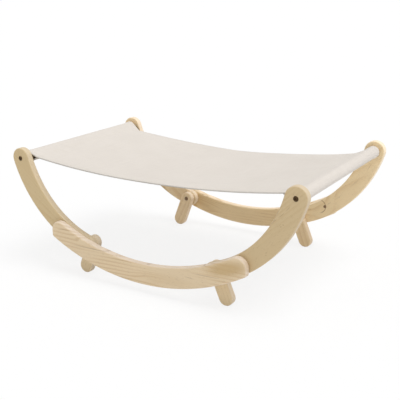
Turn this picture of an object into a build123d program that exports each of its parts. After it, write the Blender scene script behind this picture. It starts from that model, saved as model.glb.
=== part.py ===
from build123d import *
import os
from math import acos, atan2, cos, hypot, radians, sin, sqrt, tan

# Freestanding cat hammock.
# Two curved wooden frames, front and back, carry two cross rods, and a canvas sheet hangs between the rods.
# Each frame is a low curved rail, two curved arms on the rail's inner face and two short splayed feet
# on the inner face of the arms.
# X runs along the hammock from rod to rod, Y from front (negative) to back, and Z up from the floor.
# The origin is on the floor under the middle. All sizes are in millimetres.

# Overall sizes
rod_spacing = 640.0
rod_height = 236.0
inside_width = 376.0
board_thickness = 15.0

# Arms: an arc from the rod bolt down to the foot bolt, which narrows on its upper side towards the foot
arm_width = 44.0
arm_narrowing = 6.0
arm_curve_radius = 250.0
arm_edge_radius = 2.5

# Feet: round ended, with the upper end centred on the foot bolt
foot_bolt_spacing = 298.0
foot_bolt_height = 70.0
foot_width = 30.0
foot_splay_degrees = 22.0
foot_flat_width = 10.0
foot_edge_radius = 2.5

# Rails: an arc below, a slightly tighter arc above and nearly upright ends
rail_length = 464.0
rail_middle_width = 44.0
rail_bottom_radius = 460.0
rail_top_radius = 432.0
rail_drop_below_bolt = 52.0
rail_top_corner_radius = 20.0
rail_bottom_corner_radius = 6.0
rail_edge_radius = 4.0

# Rods
rod_diameter = 22.0

# Sheet: a sagging band with a sewn sleeve round each rod
sheet_thickness = 2.0
sheet_sag = 25.0
sheet_side_gap = 4.0
sleeve_slack = 0.3
sleeve_seam_from_rod = 28.0

# Socket bolts: the same diameter and head at the rods and at the feet
bolt_diameter = 5.0
bolt_head_diameter = 9.5
bolt_head_height = 2.75
bolt_head_round = 1.9
bolt_socket_flats = 3.0
bolt_socket_depth = 1.6
bolt_grip_in_insert = 9.0
bolt_hole_clearance = 0.25
head_recess_depth = 1.5
head_recess_clearance = 0.4

# Threaded inserts in the rod ends and in the rails
insert_diameter = 8.0
insert_length = 10.0
insert_end_room = 1.0
thread_clearance = 0.05
seat_clearance = 0.05

# Countersunk screws that hold each arm to the rail near the rail's end
screw_diameter = 3.5
screw_head_diameter = 7.0
screw_depth_in_rail = 9.0
screw_point_length = 3.0
screw_inset_from_rail_end = 19.0
screw_hole_clearance = 0.2

# Wooden dowels that stop each foot turning on its bolt
dowel_diameter = 5.0
dowel_depth_each_side = 9.0
dowel_below_bolt = 14.0
dowel_end_room = 0.3

# Places worked out from the sizes above, as (x, z) on the right-hand side
arm_inner_face = inside_width / 2
arm_outer_face = arm_inner_face + board_thickness
rail_outer_face = arm_outer_face + board_thickness
foot_inner_face = arm_inner_face - board_thickness
rod_point = (rod_spacing / 2, rod_height)
foot_bolt_point = (foot_bolt_spacing / 2, foot_bolt_height)


def point_above(low_point, high_point, from_low, from_high):
    """Point above and inwards of two points, at its own distance from each."""
    run = high_point[0] - low_point[0]
    rise = high_point[1] - low_point[1]
    chord = hypot(run, rise)
    along = (from_low**2 - from_high**2 + chord**2) / (2 * chord)
    reach = sqrt(from_low**2 - along**2)
    x = low_point[0] + (along * run - reach * rise) / chord
    z = low_point[1] + (along * rise + reach * run) / chord
    return (x, z)


arm_centre = point_above(foot_bolt_point, rod_point, arm_curve_radius, arm_curve_radius)


def arm_angle(point):
    """Angle of a point round the arm's centre, from straight down towards the outside."""
    return atan2(point[0] - arm_centre[0], arm_centre[1] - point[1])


def arm_place(angle, radius):
    """Point at an angle and a radius round the arm's centre."""
    return (arm_centre[0] + radius * sin(angle), arm_centre[1] - radius * cos(angle))


def step_towards(start, target, distance):
    """Point at a distance from the start, on the straight line to the target."""
    whole = hypot(target[0] - start[0], target[1] - start[1])
    share = distance / whole
    return (start[0] + share * (target[0] - start[0]), start[1] + share * (target[1] - start[1]))


def arm_height_at(x):
    """Height of the arm's centre line at a distance from the middle."""
    return arm_centre[1] - sqrt(arm_curve_radius**2 - (x - arm_centre[0]) ** 2)


screw_x = rail_length / 2 - screw_inset_from_rail_end
screw_point = (screw_x, arm_height_at(screw_x))
splay = radians(foot_splay_degrees)
dowel_point = (
    foot_bolt_point[0] + dowel_below_bolt * sin(splay),
    foot_bolt_point[1] - dowel_below_bolt * cos(splay),
)

# The front frame is drawn flat, with z as the distance from the middle plane out to the front
front = Plane(origin=(0, 0, 0), x_dir=(1, 0, 0), z_dir=(0, -1, 0))


def board(outline, inner_face, edge_radius):
    """Flat board of one thickness from its outline, with rounded edges all round both faces."""
    flat = extrude(outline, board_thickness)
    faces = flat.faces().sort_by(Axis.Z)
    rounded = fillet(faces[0].edges() + faces[-1].edges(), edge_radius)
    return Pos(0, 0, inner_face) * rounded


def bar(point, start, end, diameter):
    """Round bar or hole along the depth, between two distances from the middle plane."""
    length = abs(end - start)
    return Pos(point[0], point[1], (start + end) / 2) * Cylinder(diameter / 2, length)


def left_of(point):
    """The same place on the left-hand side."""
    return (-point[0], point[1])


def arm_outline():
    """Curved strip with a round end at the rod bolt and a smaller one, against the outer arc, at the foot bolt."""
    half = arm_width / 2
    end = (arm_width - arm_narrowing) / 2
    low = arm_angle(foot_bolt_point)
    high = arm_angle(rod_point)
    outer = arm_curve_radius + half
    inner = arm_curve_radius - half
    end_centre = arm_place(low, outer - end)
    inner_centre = point_above(end_centre, rod_point, inner + end, inner + half)
    inner_high = step_towards(inner_centre, rod_point, inner)
    inner_low = step_towards(inner_centre, end_centre, inner)
    chord_middle = ((inner_high[0] + inner_low[0]) / 2, (inner_high[1] + inner_low[1]) / 2)
    inner_middle = step_towards(inner_centre, chord_middle, inner)
    top_tip = (rod_point[0] + half * cos(high), rod_point[1] + half * sin(high))
    end_tip = (end_centre[0] - end * cos(low), end_centre[1] - end * sin(low))
    edges = [
        ThreePointArc(arm_place(low, outer), arm_place((low + high) / 2, outer), arm_place(high, outer)),
        ThreePointArc(arm_place(high, outer), top_tip, inner_high),
        ThreePointArc(inner_high, inner_middle, inner_low),
        ThreePointArc(inner_low, end_tip, arm_place(low, outer)),
    ]
    return make_face(edges)


def make_arm():
    """Front right arm with its bolt, screw and dowel holes."""
    solid = board(arm_outline(), arm_inner_face, arm_edge_radius)
    hole = bolt_diameter + 2 * bolt_hole_clearance
    recess = bolt_head_diameter + 2 * head_recess_clearance
    solid -= bar(rod_point, arm_inner_face, arm_outer_face, hole)
    solid -= bar(rod_point, arm_outer_face - head_recess_depth, arm_outer_face, recess)
    solid -= bar(foot_bolt_point, arm_inner_face, arm_outer_face, hole)
    solid -= bar(screw_point, arm_inner_face, arm_outer_face, screw_diameter + 2 * screw_hole_clearance)
    solid -= screw_head(screw_hole_clearance)
    dowel_end = arm_inner_face + dowel_depth_each_side + dowel_end_room
    solid -= bar(dowel_point, arm_inner_face, dowel_end, dowel_diameter + 2 * seat_clearance)
    return solid


def rail_outline():
    """Crescent between two arcs, closed by upright ends with rounded corners."""
    half = rail_length / 2
    lowest = foot_bolt_height - rail_drop_below_bolt
    middle_top = lowest + rail_middle_width
    end_bottom = lowest + rail_bottom_radius - sqrt(rail_bottom_radius**2 - half**2)
    end_top = middle_top + rail_top_radius - sqrt(rail_top_radius**2 - half**2)
    edges = [
        ThreePointArc((-half, end_bottom), (0, lowest), (half, end_bottom)),
        Line((half, end_bottom), (half, end_top)),
        ThreePointArc((half, end_top), (0, middle_top), (-half, end_top)),
        Line((-half, end_top), (-half, end_bottom)),
    ]
    outline = make_face(edges)
    corners = outline.vertices().sort_by(Axis.Y)
    outline = fillet(corners[:2], rail_bottom_corner_radius)
    corners = outline.vertices().sort_by(Axis.Y)
    return fillet(corners[-2:], rail_top_corner_radius)


def make_rail():
    """Front rail with blind holes in its inner face for the inserts and the arm screws."""
    solid = board(rail_outline(), arm_outer_face, rail_edge_radius)
    insert_hole_end = arm_outer_face + insert_length + insert_end_room
    screw_hole_end = arm_outer_face + screw_depth_in_rail
    for place in (foot_bolt_point, left_of(foot_bolt_point)):
        solid -= bar(place, arm_outer_face, insert_hole_end, insert_diameter + 2 * seat_clearance)
    for place in (screw_point, left_of(screw_point)):
        solid -= bar(place, arm_outer_face, screw_hole_end, screw_diameter + 2 * seat_clearance)
    return solid


def make_foot():
    """Front right foot: a straight round-ended strip that leans outwards, cut level where it stands."""
    half = foot_width / 2
    end_height = sqrt(half**2 - (foot_flat_width / 2) ** 2)
    drop = foot_bolt_height - end_height
    top = foot_bolt_point
    bottom = (top[0] + drop * tan(splay), end_height)
    across = (half * cos(splay), half * sin(splay))
    along = (half * sin(splay), -half * cos(splay))
    top_right = (top[0] + across[0], top[1] + across[1])
    top_left = (top[0] - across[0], top[1] - across[1])
    bottom_right = (bottom[0] + across[0], bottom[1] + across[1])
    bottom_left = (bottom[0] - across[0], bottom[1] - across[1])
    edges = [
        Line(top_right, bottom_right),
        ThreePointArc(bottom_right, (bottom[0] + along[0], bottom[1] + along[1]), bottom_left),
        Line(bottom_left, top_left),
        ThreePointArc(top_left, (top[0] - along[0], top[1] - along[1]), top_right),
    ]
    solid = board(make_face(edges), foot_inner_face, foot_edge_radius)
    below_floor = Pos(bottom[0], -half, arm_inner_face) * Box(2 * foot_width, foot_width, inside_width)
    solid -= below_floor
    hole = bolt_diameter + 2 * bolt_hole_clearance
    recess = bolt_head_diameter + 2 * head_recess_clearance
    solid -= bar(foot_bolt_point, foot_inner_face, arm_inner_face, hole)
    solid -= bar(foot_bolt_point, foot_inner_face, foot_inner_face + head_recess_depth, recess)
    dowel_end = arm_inner_face - dowel_depth_each_side - dowel_end_room
    solid -= bar(dowel_point, dowel_end, arm_inner_face, dowel_diameter + 2 * seat_clearance)
    return solid


def make_rod():
    """Right rod, from arm to arm, bored at both ends for its inserts."""
    solid = bar(rod_point, -arm_inner_face, arm_inner_face, rod_diameter)
    bore = insert_diameter + 2 * seat_clearance
    bore_end = arm_inner_face - insert_length - insert_end_room
    solid -= bar(rod_point, bore_end, arm_inner_face, bore)
    solid -= bar(rod_point, -arm_inner_face, -bore_end, bore)
    return solid


def make_bolt(grip):
    """Socket bolt that stands on z = 0 with its rounded head upwards and its shank down."""
    head = Pos(0, 0, bolt_head_height / 2) * Cylinder(bolt_head_diameter / 2, bolt_head_height)
    head = fillet(head.edges().sort_by(Axis.Z)[-1:], bolt_head_round)
    socket = extrude(RegularPolygon(bolt_socket_flats / 2, 6, major_radius=False), bolt_socket_depth)
    head -= Pos(0, 0, bolt_head_height - bolt_socket_depth) * socket
    return head + Pos(0, 0, -grip / 2) * Cylinder(bolt_diameter / 2, grip)


def make_rod_bolt():
    """Bolt from the outside of the front right arm into the rod."""
    seat = arm_outer_face - head_recess_depth
    grip = seat - arm_inner_face + bolt_grip_in_insert
    return Pos(rod_point[0], rod_point[1], seat) * make_bolt(grip)


def make_foot_bolt():
    """Bolt from the inner face of the front right foot, through the arm, into the rail."""
    seat = foot_inner_face + head_recess_depth
    grip = arm_outer_face - seat + bolt_grip_in_insert
    return Pos(foot_bolt_point[0], foot_bolt_point[1], seat) * Rot(180, 0, 0) * make_bolt(grip)


def make_insert(point, start):
    """Threaded insert as a plain sleeve round the bolt."""
    sleeve = bar(point, start, start + insert_length, insert_diameter)
    return sleeve - bar(point, start, start + insert_length, bolt_diameter + 2 * thread_clearance)


def screw_head(clearance):
    """Cone of the arm screw's head, flush with the arm's inner face, grown by a clearance."""
    height = (screw_head_diameter - screw_diameter) / 2
    wide = screw_head_diameter / 2 + clearance
    narrow = screw_diameter / 2 + clearance
    return Pos(screw_point[0], screw_point[1], arm_inner_face + height / 2) * Cone(wide, narrow, height)


def make_screw():
    """Countersunk screw from the arm's inner face into the rail."""
    head_height = (screw_head_diameter - screw_diameter) / 2
    shank_start = arm_inner_face + head_height
    shank_end = arm_outer_face + screw_depth_in_rail - screw_point_length
    shank = bar(screw_point, shank_start, shank_end, screw_diameter)
    point_place = Pos(screw_point[0], screw_point[1], shank_end + screw_point_length / 2)
    tip = point_place * Cone(screw_diameter / 2, 0, screw_point_length)
    return screw_head(0) + shank + tip


def make_dowel():
    """Dowel half in the foot and half in the arm."""
    start = arm_inner_face - dowel_depth_each_side
    return bar(dowel_point, start, arm_inner_face + dowel_depth_each_side, dowel_diameter)


def teardrop(radius, tip_distance):
    """Circle with two tangents that meet at a tip on the side of the middle."""
    turn = acos(radius / tip_distance)
    upper = (-radius * cos(turn), radius * sin(turn))
    lower = (-radius * cos(turn), -radius * sin(turn))
    tip = (-tip_distance, 0)
    edges = [
        ThreePointArc(upper, (radius, 0), lower),
        Line(lower, tip),
        Line(tip, upper),
    ]
    return make_face(edges)


def make_sheet():
    """Canvas sheet: sleeves round both rods and a band that sags between their seams."""
    inner = rod_diameter / 2 + sleeve_slack
    outer = inner + sheet_thickness
    inner_tip = sleeve_seam_from_rod * inner / outer
    right_sleeve = Pos(*rod_point) * (teardrop(outer, sleeve_seam_from_rod) - teardrop(inner, inner_tip))
    half_span = rod_spacing / 2 - (sleeve_seam_from_rod + inner_tip) / 2
    half_thick = sheet_thickness / 2
    upper = rod_height + half_thick
    lower = rod_height - half_thick
    edges = [
        ThreePointArc((-half_span, upper), (0, upper - sheet_sag), (half_span, upper)),
        Line((half_span, upper), (half_span, lower)),
        ThreePointArc((half_span, lower), (0, lower - sheet_sag), (-half_span, lower)),
        Line((-half_span, lower), (-half_span, upper)),
    ]
    band = make_face(edges)
    profile = band + right_sleeve + mirror(right_sleeve, about=Plane.YZ)
    width = inside_width - 2 * sheet_side_gap
    return Pos(0, 0, -width / 2) * extrude(profile, width)


def to_front(flat):
    """Stands a flat drawing up in the front half."""
    return front * flat


def to_back(shape):
    """Mirrors a front piece to the back."""
    return mirror(shape, about=Plane.XZ)


def to_left(shape):
    """Mirrors a right-hand piece to the left."""
    return mirror(shape, about=Plane.YZ)


def both_sides(shape):
    """A right-hand piece and its mirror image, as one group."""
    return Compound(children=[*shape.solids(), *to_left(shape).solids()])


def make_nodes():
    """Every piece of the hammock by its node name."""
    nodes = {}
    corner_pieces = {"arm": to_front(make_arm()), "foot": to_front(make_foot())}
    for name, shape in corner_pieces.items():
        nodes[f"{name}_front_right"] = shape
        nodes[f"{name}_front_left"] = to_left(shape)
        nodes[f"{name}_back_right"] = to_back(shape)
        nodes[f"{name}_back_left"] = to_back(to_left(shape))
    rail = to_front(make_rail())
    nodes["rail_front"] = rail
    nodes["rail_back"] = to_back(rail)
    rod = to_front(make_rod())
    nodes["rod_right"] = rod
    nodes["rod_left"] = to_left(rod)
    nodes["hammock_sheet"] = to_front(make_sheet())
    paired_pieces = {
        "rod_bolts": make_rod_bolt(),
        "rod_inserts": make_insert(rod_point, arm_inner_face - insert_length),
        "foot_bolts": make_foot_bolt(),
        "rail_inserts": make_insert(foot_bolt_point, arm_outer_face),
        "arm_screws": make_screw(),
        "foot_dowels": make_dowel(),
    }
    for name, shape in paired_pieces.items():
        standing = to_front(shape)
        nodes[f"{name}_front"] = both_sides(standing)
        nodes[f"{name}_back"] = both_sides(to_back(standing))
    return nodes


os.makedirs("parts", exist_ok=True)
for node_name, node_shape in make_nodes().items():
    export_step(node_shape, f"parts/{node_name}.step")
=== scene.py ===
"""Freestanding cat hammock: its sewn sheet, its finishes, the light and the camera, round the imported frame.

X runs from rod to rod, Y from the front frame to the back one, and Z up from the floor. Lengths are in
metres.
"""

import logging
import math
from dataclasses import dataclass, field
from enum import Enum

import bmesh
import bpy
import numpy as np
from mathutils import Matrix, Vector


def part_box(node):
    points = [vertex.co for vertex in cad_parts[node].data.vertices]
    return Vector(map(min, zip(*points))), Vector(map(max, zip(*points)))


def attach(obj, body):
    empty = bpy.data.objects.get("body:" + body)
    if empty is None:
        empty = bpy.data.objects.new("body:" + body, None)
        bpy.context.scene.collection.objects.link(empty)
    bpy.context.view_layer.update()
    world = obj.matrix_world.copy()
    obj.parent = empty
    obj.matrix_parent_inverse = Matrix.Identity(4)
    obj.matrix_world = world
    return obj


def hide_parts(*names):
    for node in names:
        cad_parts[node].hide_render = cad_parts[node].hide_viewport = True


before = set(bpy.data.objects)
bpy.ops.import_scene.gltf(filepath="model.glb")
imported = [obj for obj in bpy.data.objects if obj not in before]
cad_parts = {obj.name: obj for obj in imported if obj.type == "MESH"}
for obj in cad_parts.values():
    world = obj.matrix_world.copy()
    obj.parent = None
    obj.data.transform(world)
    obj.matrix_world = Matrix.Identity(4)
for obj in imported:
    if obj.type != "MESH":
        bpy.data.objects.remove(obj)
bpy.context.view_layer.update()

log = logging.getLogger("cat_hammock")

ROOT = "root"
MM = 0.001
FULL_TURN = 2 * math.pi
PALEST_WOOD = 0.95
WHITE = (1.0, 1.0, 1.0, 1.0)
STITCH_SIDES = 6
STITCH_RINGS = (0.0, 0.12, 0.5, 0.88, 1.0)
Point = tuple[float, float, float]
Colour = tuple[float, float, float, float]
Socket = bpy.types.NodeSocket
Material = bpy.types.Material
Piece = bpy.types.Object


class Side(Enum):
    """Left or right of the hammock, with the sign of X there."""

    LEFT = -1
    RIGHT = 1


class Depth(Enum):
    """Front or back of the hammock, with the sign of Y there."""

    FRONT = -1
    BACK = 1


def paint(red: int, green: int, blue: int) -> Colour:
    """Turns a display colour into the linear one that a shader takes.

    The curve is the usual one: a short straight start, then a power of 2.4.

    Args:
        red: Red from 0 to 255.
        green: Green from 0 to 255.
        blue: Blue from 0 to 255.

    Returns:
        The linear colour with an opacity of 1.
    """
    shares = np.array([red, green, blue]) / 255
    linear = np.where(shares <= 0.04045, shares / 12.92, ((shares + 0.055) / 1.055) ** 2.4)
    return (*(float(share) for share in linear), 1.0)


def smooth_step(values: np.ndarray, start: float, end: float) -> np.ndarray:
    """Rises from 0 at start to 1 at end along 3 t squared less 2 t cubed.

    Args:
        values: The numbers to place between start and end.
        start: Where the rise starts.
        end: Where the rise ends, which may lie below start.

    Returns:
        An array of the same shape, from 0 to 1.
    """
    share = np.clip((values - start) / (end - start), 0, 1)
    return share * share * (3 - 2 * share)


def mesh_piece(name: str, corners: np.ndarray, faces: np.ndarray, uv: np.ndarray | None = None) -> Piece:
    """Makes a smooth-shaded mesh piece from arrays.

    Args:
        name: The piece's name.
        corners: An array of N points.
        faces: An array of M faces with 4 corner numbers each.
        uv: Cloth coordinates of each face corner, M by 4 by 2, or None.

    Returns:
        The new object, at the origin.
    """
    mesh = bpy.data.meshes.new(name)
    mesh.from_pydata(corners.reshape(-1, 3).tolist(), [], faces.tolist())
    mesh.polygons.foreach_set("use_smooth", np.ones(len(mesh.polygons), bool))
    if uv is not None:
        layer = mesh.uv_layers.new(name="cloth")
        layer.data.foreach_set("uv", uv.astype(np.float32).ravel())
    mesh.update()
    piece = bpy.data.objects.new(name, mesh)
    bpy.context.scene.collection.objects.link(piece)
    return piece


def tube_faces(rings: int, columns: int) -> np.ndarray:
    """Lists the quads of a tube whose points are numbered ring by ring.

    Args:
        rings: Rings along the tube.
        columns: Points in a ring.

    Returns:
        An array of quads.
    """
    ring, column = np.meshgrid(np.arange(rings - 1), np.arange(columns), indexing="ij")
    next_column = (column + 1) % columns
    here, there = ring * columns, (ring + 1) * columns
    corners = [here + column, here + next_column, there + next_column, there + column]
    return np.stack(corners, axis=-1).reshape(-1, 4)


def tube_uv(faces: np.ndarray, columns: int, along: np.ndarray, around: np.ndarray) -> np.ndarray:
    """Gives each face corner of a tube its ring's value and its column's.

    Args:
        faces: The tube's quads, as tube_faces lists them.
        columns: Points in a ring.
        along: The value of each ring.
        around: The value of each column, and a last one for the way back to the first.

    Returns:
        An array of faces by 4 by 2.
    """
    ring, column = faces[:, 0] // columns, faces[:, 0] % columns
    u = np.stack([along[ring], along[ring], along[ring + 1], along[ring + 1]], axis=1)
    v = np.stack([around[column], around[column + 1], around[column + 1], around[column]], axis=1)
    return np.stack([u, v], axis=-1)


class Shader:
    """Adds nodes to one new material and joins them."""

    def __init__(self, name: str) -> None:
        """Starts a material that holds only its main shader.

        Args:
            name: The material's name.
        """
        self.material = bpy.data.materials.new(name)
        self.material.use_nodes = True
        self.tree = self.material.node_tree
        self.main = self.tree.nodes["Principled BSDF"]
        self.output = self.tree.nodes["Material Output"]

    def feed(self, socket: Socket, value: object) -> None:
        """Joins a socket to another one, or sets its number or colour.

        Args:
            socket: The input to fill.
            value: An output socket, or a plain value.
        """
        if isinstance(value, Socket):
            self.tree.links.new(value, socket)
        else:
            socket.default_value = value

    def add(self, kind: str, inputs: dict[str | int, object], **settings: object) -> bpy.types.Node:
        """Adds a node.

        Args:
            kind: The node's type.
            inputs: What goes into its inputs, by name or number.
            **settings: The node's own settings.

        Returns:
            The new node.
        """
        node = self.tree.nodes.new(kind)
        for name, value in settings.items():
            setattr(node, name, value)
        for key, value in inputs.items():
            self.feed(node.inputs[key], value)
        return node

    def math(self, operation: str, *values: object, clamp: bool = False) -> Socket:
        """Works out one number from up to three.

        Args:
            operation: The kind of sum.
            *values: Sockets or numbers.
            clamp: True to keep the result from 0 to 1.

        Returns:
            The result's socket.
        """
        inputs = dict(enumerate(values))
        return self.add("ShaderNodeMath", inputs, operation=operation, use_clamp=clamp).outputs[0]

    def vector(self, operation: str, *values: object) -> Socket:
        """Works out a vector from one or two others.

        Args:
            operation: The kind of sum.
            *values: Sockets or vectors.

        Returns:
            The result's socket.
        """
        inputs = dict(enumerate(values))
        return self.add("ShaderNodeVectorMath", inputs, operation=operation).outputs["Vector"]

    def length(self, vector: Socket) -> Socket:
        """Gives a vector's length."""
        return self.add("ShaderNodeVectorMath", {0: vector}, operation="LENGTH").outputs["Value"]

    def rise(self, value: object, start: float, end: float, low: float = 0.0, high: float = 1.0) -> Socket:
        """Maps a value smoothly from one span to another.

        Args:
            value: The socket to map.
            start: The value that gives low.
            end: The value that gives high.
            low: The result at start and before it.
            high: The result at end and past it.

        Returns:
            The result's socket.
        """
        inputs = {"Value": value, "From Min": start, "From Max": end, "To Min": low, "To Max": high}
        node = self.add("ShaderNodeMapRange", inputs, interpolation_type="SMOOTHSTEP")
        return node.outputs["Result"]

    def noise(self, vector: object, scale: float, detail: float = 2.0, rough: float = 0.5) -> Socket:
        """Gives a soft random value at each place.

        Args:
            vector: Where to read it.
            scale: How fine it is.
            detail: How many finer layers it has.
            rough: How strong the finer layers are.

        Returns:
            The value's socket, from 0 to 1 with 0.5 in the middle.
        """
        inputs = {"Vector": vector, "Scale": scale, "Detail": detail, "Roughness": rough}
        return self.add("ShaderNodeTexNoise", inputs).outputs[0]

    def grain(self, vector: object, stretch: Point, detail: float = 2.0, rough: float = 0.5) -> Socket:
        """Gives noise that is finer along some axes than along others.

        Args:
            vector: Where to read it.
            stretch: How fine it is along each axis.
            detail: How many finer layers it has.
            rough: How strong the finer layers are.

        Returns:
            The value's socket.
        """
        return self.noise(self.vector("MULTIPLY", vector, stretch), 1.0, detail, rough)

    def scaled(self, value: object, gain: float, offset: float, clamp: bool = False) -> Socket:
        """Gives a value times a gain plus an offset.

        Args:
            value: The socket to change.
            gain: What it is multiplied by.
            offset: What is added then.
            clamp: True to keep the result from 0 to 1.

        Returns:
            The result's socket.
        """
        return self.math("MULTIPLY_ADD", value, gain, offset, clamp=clamp)

    def mix(self, share: object, first: object, second: object, blend: str = "MIX") -> Socket:
        """Mixes two colours.

        Args:
            share: How much of the second one, from 0 to 1.
            first: A colour or its socket.
            second: A colour or its socket.
            blend: How they are mixed.

        Returns:
            The mixed colour's socket.
        """
        node = self.add("ShaderNodeMix", {}, data_type="RGBA", blend_type=blend)
        self.feed(node.inputs[0], share)
        self.feed(node.inputs[6], first)
        self.feed(node.inputs[7], second)
        return node.outputs[2]

    def place(self, vector: object, location: Point, rotation: Point, scale: Point) -> Socket:
        """Reads places in a frame of the given position, turn and size.

        Args:
            vector: The places to read.
            location: The frame's origin.
            rotation: The frame's turn, as three angles in radians.
            scale: The frame's unit along each of its axes.

        Returns:
            The places in that frame.
        """
        inputs = {"Vector": vector, "Location": location, "Rotation": rotation, "Scale": scale}
        return self.add("ShaderNodeMapping", inputs, vector_type="TEXTURE").outputs[0]

    def split(self, vector: Socket) -> tuple[Socket, ...]:
        """Gives a vector's three parts."""
        return tuple(self.add("ShaderNodeSeparateXYZ", {0: vector}).outputs)

    def object_places(self) -> Socket:
        """Gives the piece's own coordinates, in metres."""
        return self.add("ShaderNodeTexCoord", {}).outputs["Object"]

    def bump(self, height: object, depth: float, strength: float) -> None:
        """Gives the main shader a relief.

        Args:
            height: The relief's height, from 0 to 1.
            depth: What a height of 1 stands for, in metres.
            strength: How much of it shows.
        """
        node = self.add("ShaderNodeBump", {"Height": height, "Distance": depth, "Strength": strength})
        self.feed(self.main.inputs["Normal"], node.outputs[0])

    def finish(self, **values: object) -> Material:
        """Fills the main shader's inputs.

        Args:
            **values: Sockets or values, by input name with underscores for spaces.

        Returns:
            The finished material.
        """
        for name, value in values.items():
            self.feed(self.main.inputs[name.replace("_", " ")], value)
        return self.material


@dataclass(frozen=True)
class Mark:
    """A knot, streak, ring mark or arched figure on a board's face.

    The place is (x, z), and the size is half the length and half the width of its oval. The growth rings
    bend round it by a number of ring widths, out to a reach of a few ovals, and the wood there turns towards
    heartwood. A hollow mark is a crescent: only the rim of the oval, on its +X side.
    """

    place: tuple[float, float]
    size: tuple[float, float]
    turn_degrees: float = 0.0
    strength: float = 0.6
    hollow: float = 0.0
    rings: float = 0.0
    reach: float = 4.0
    tint: float = 0.0


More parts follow.
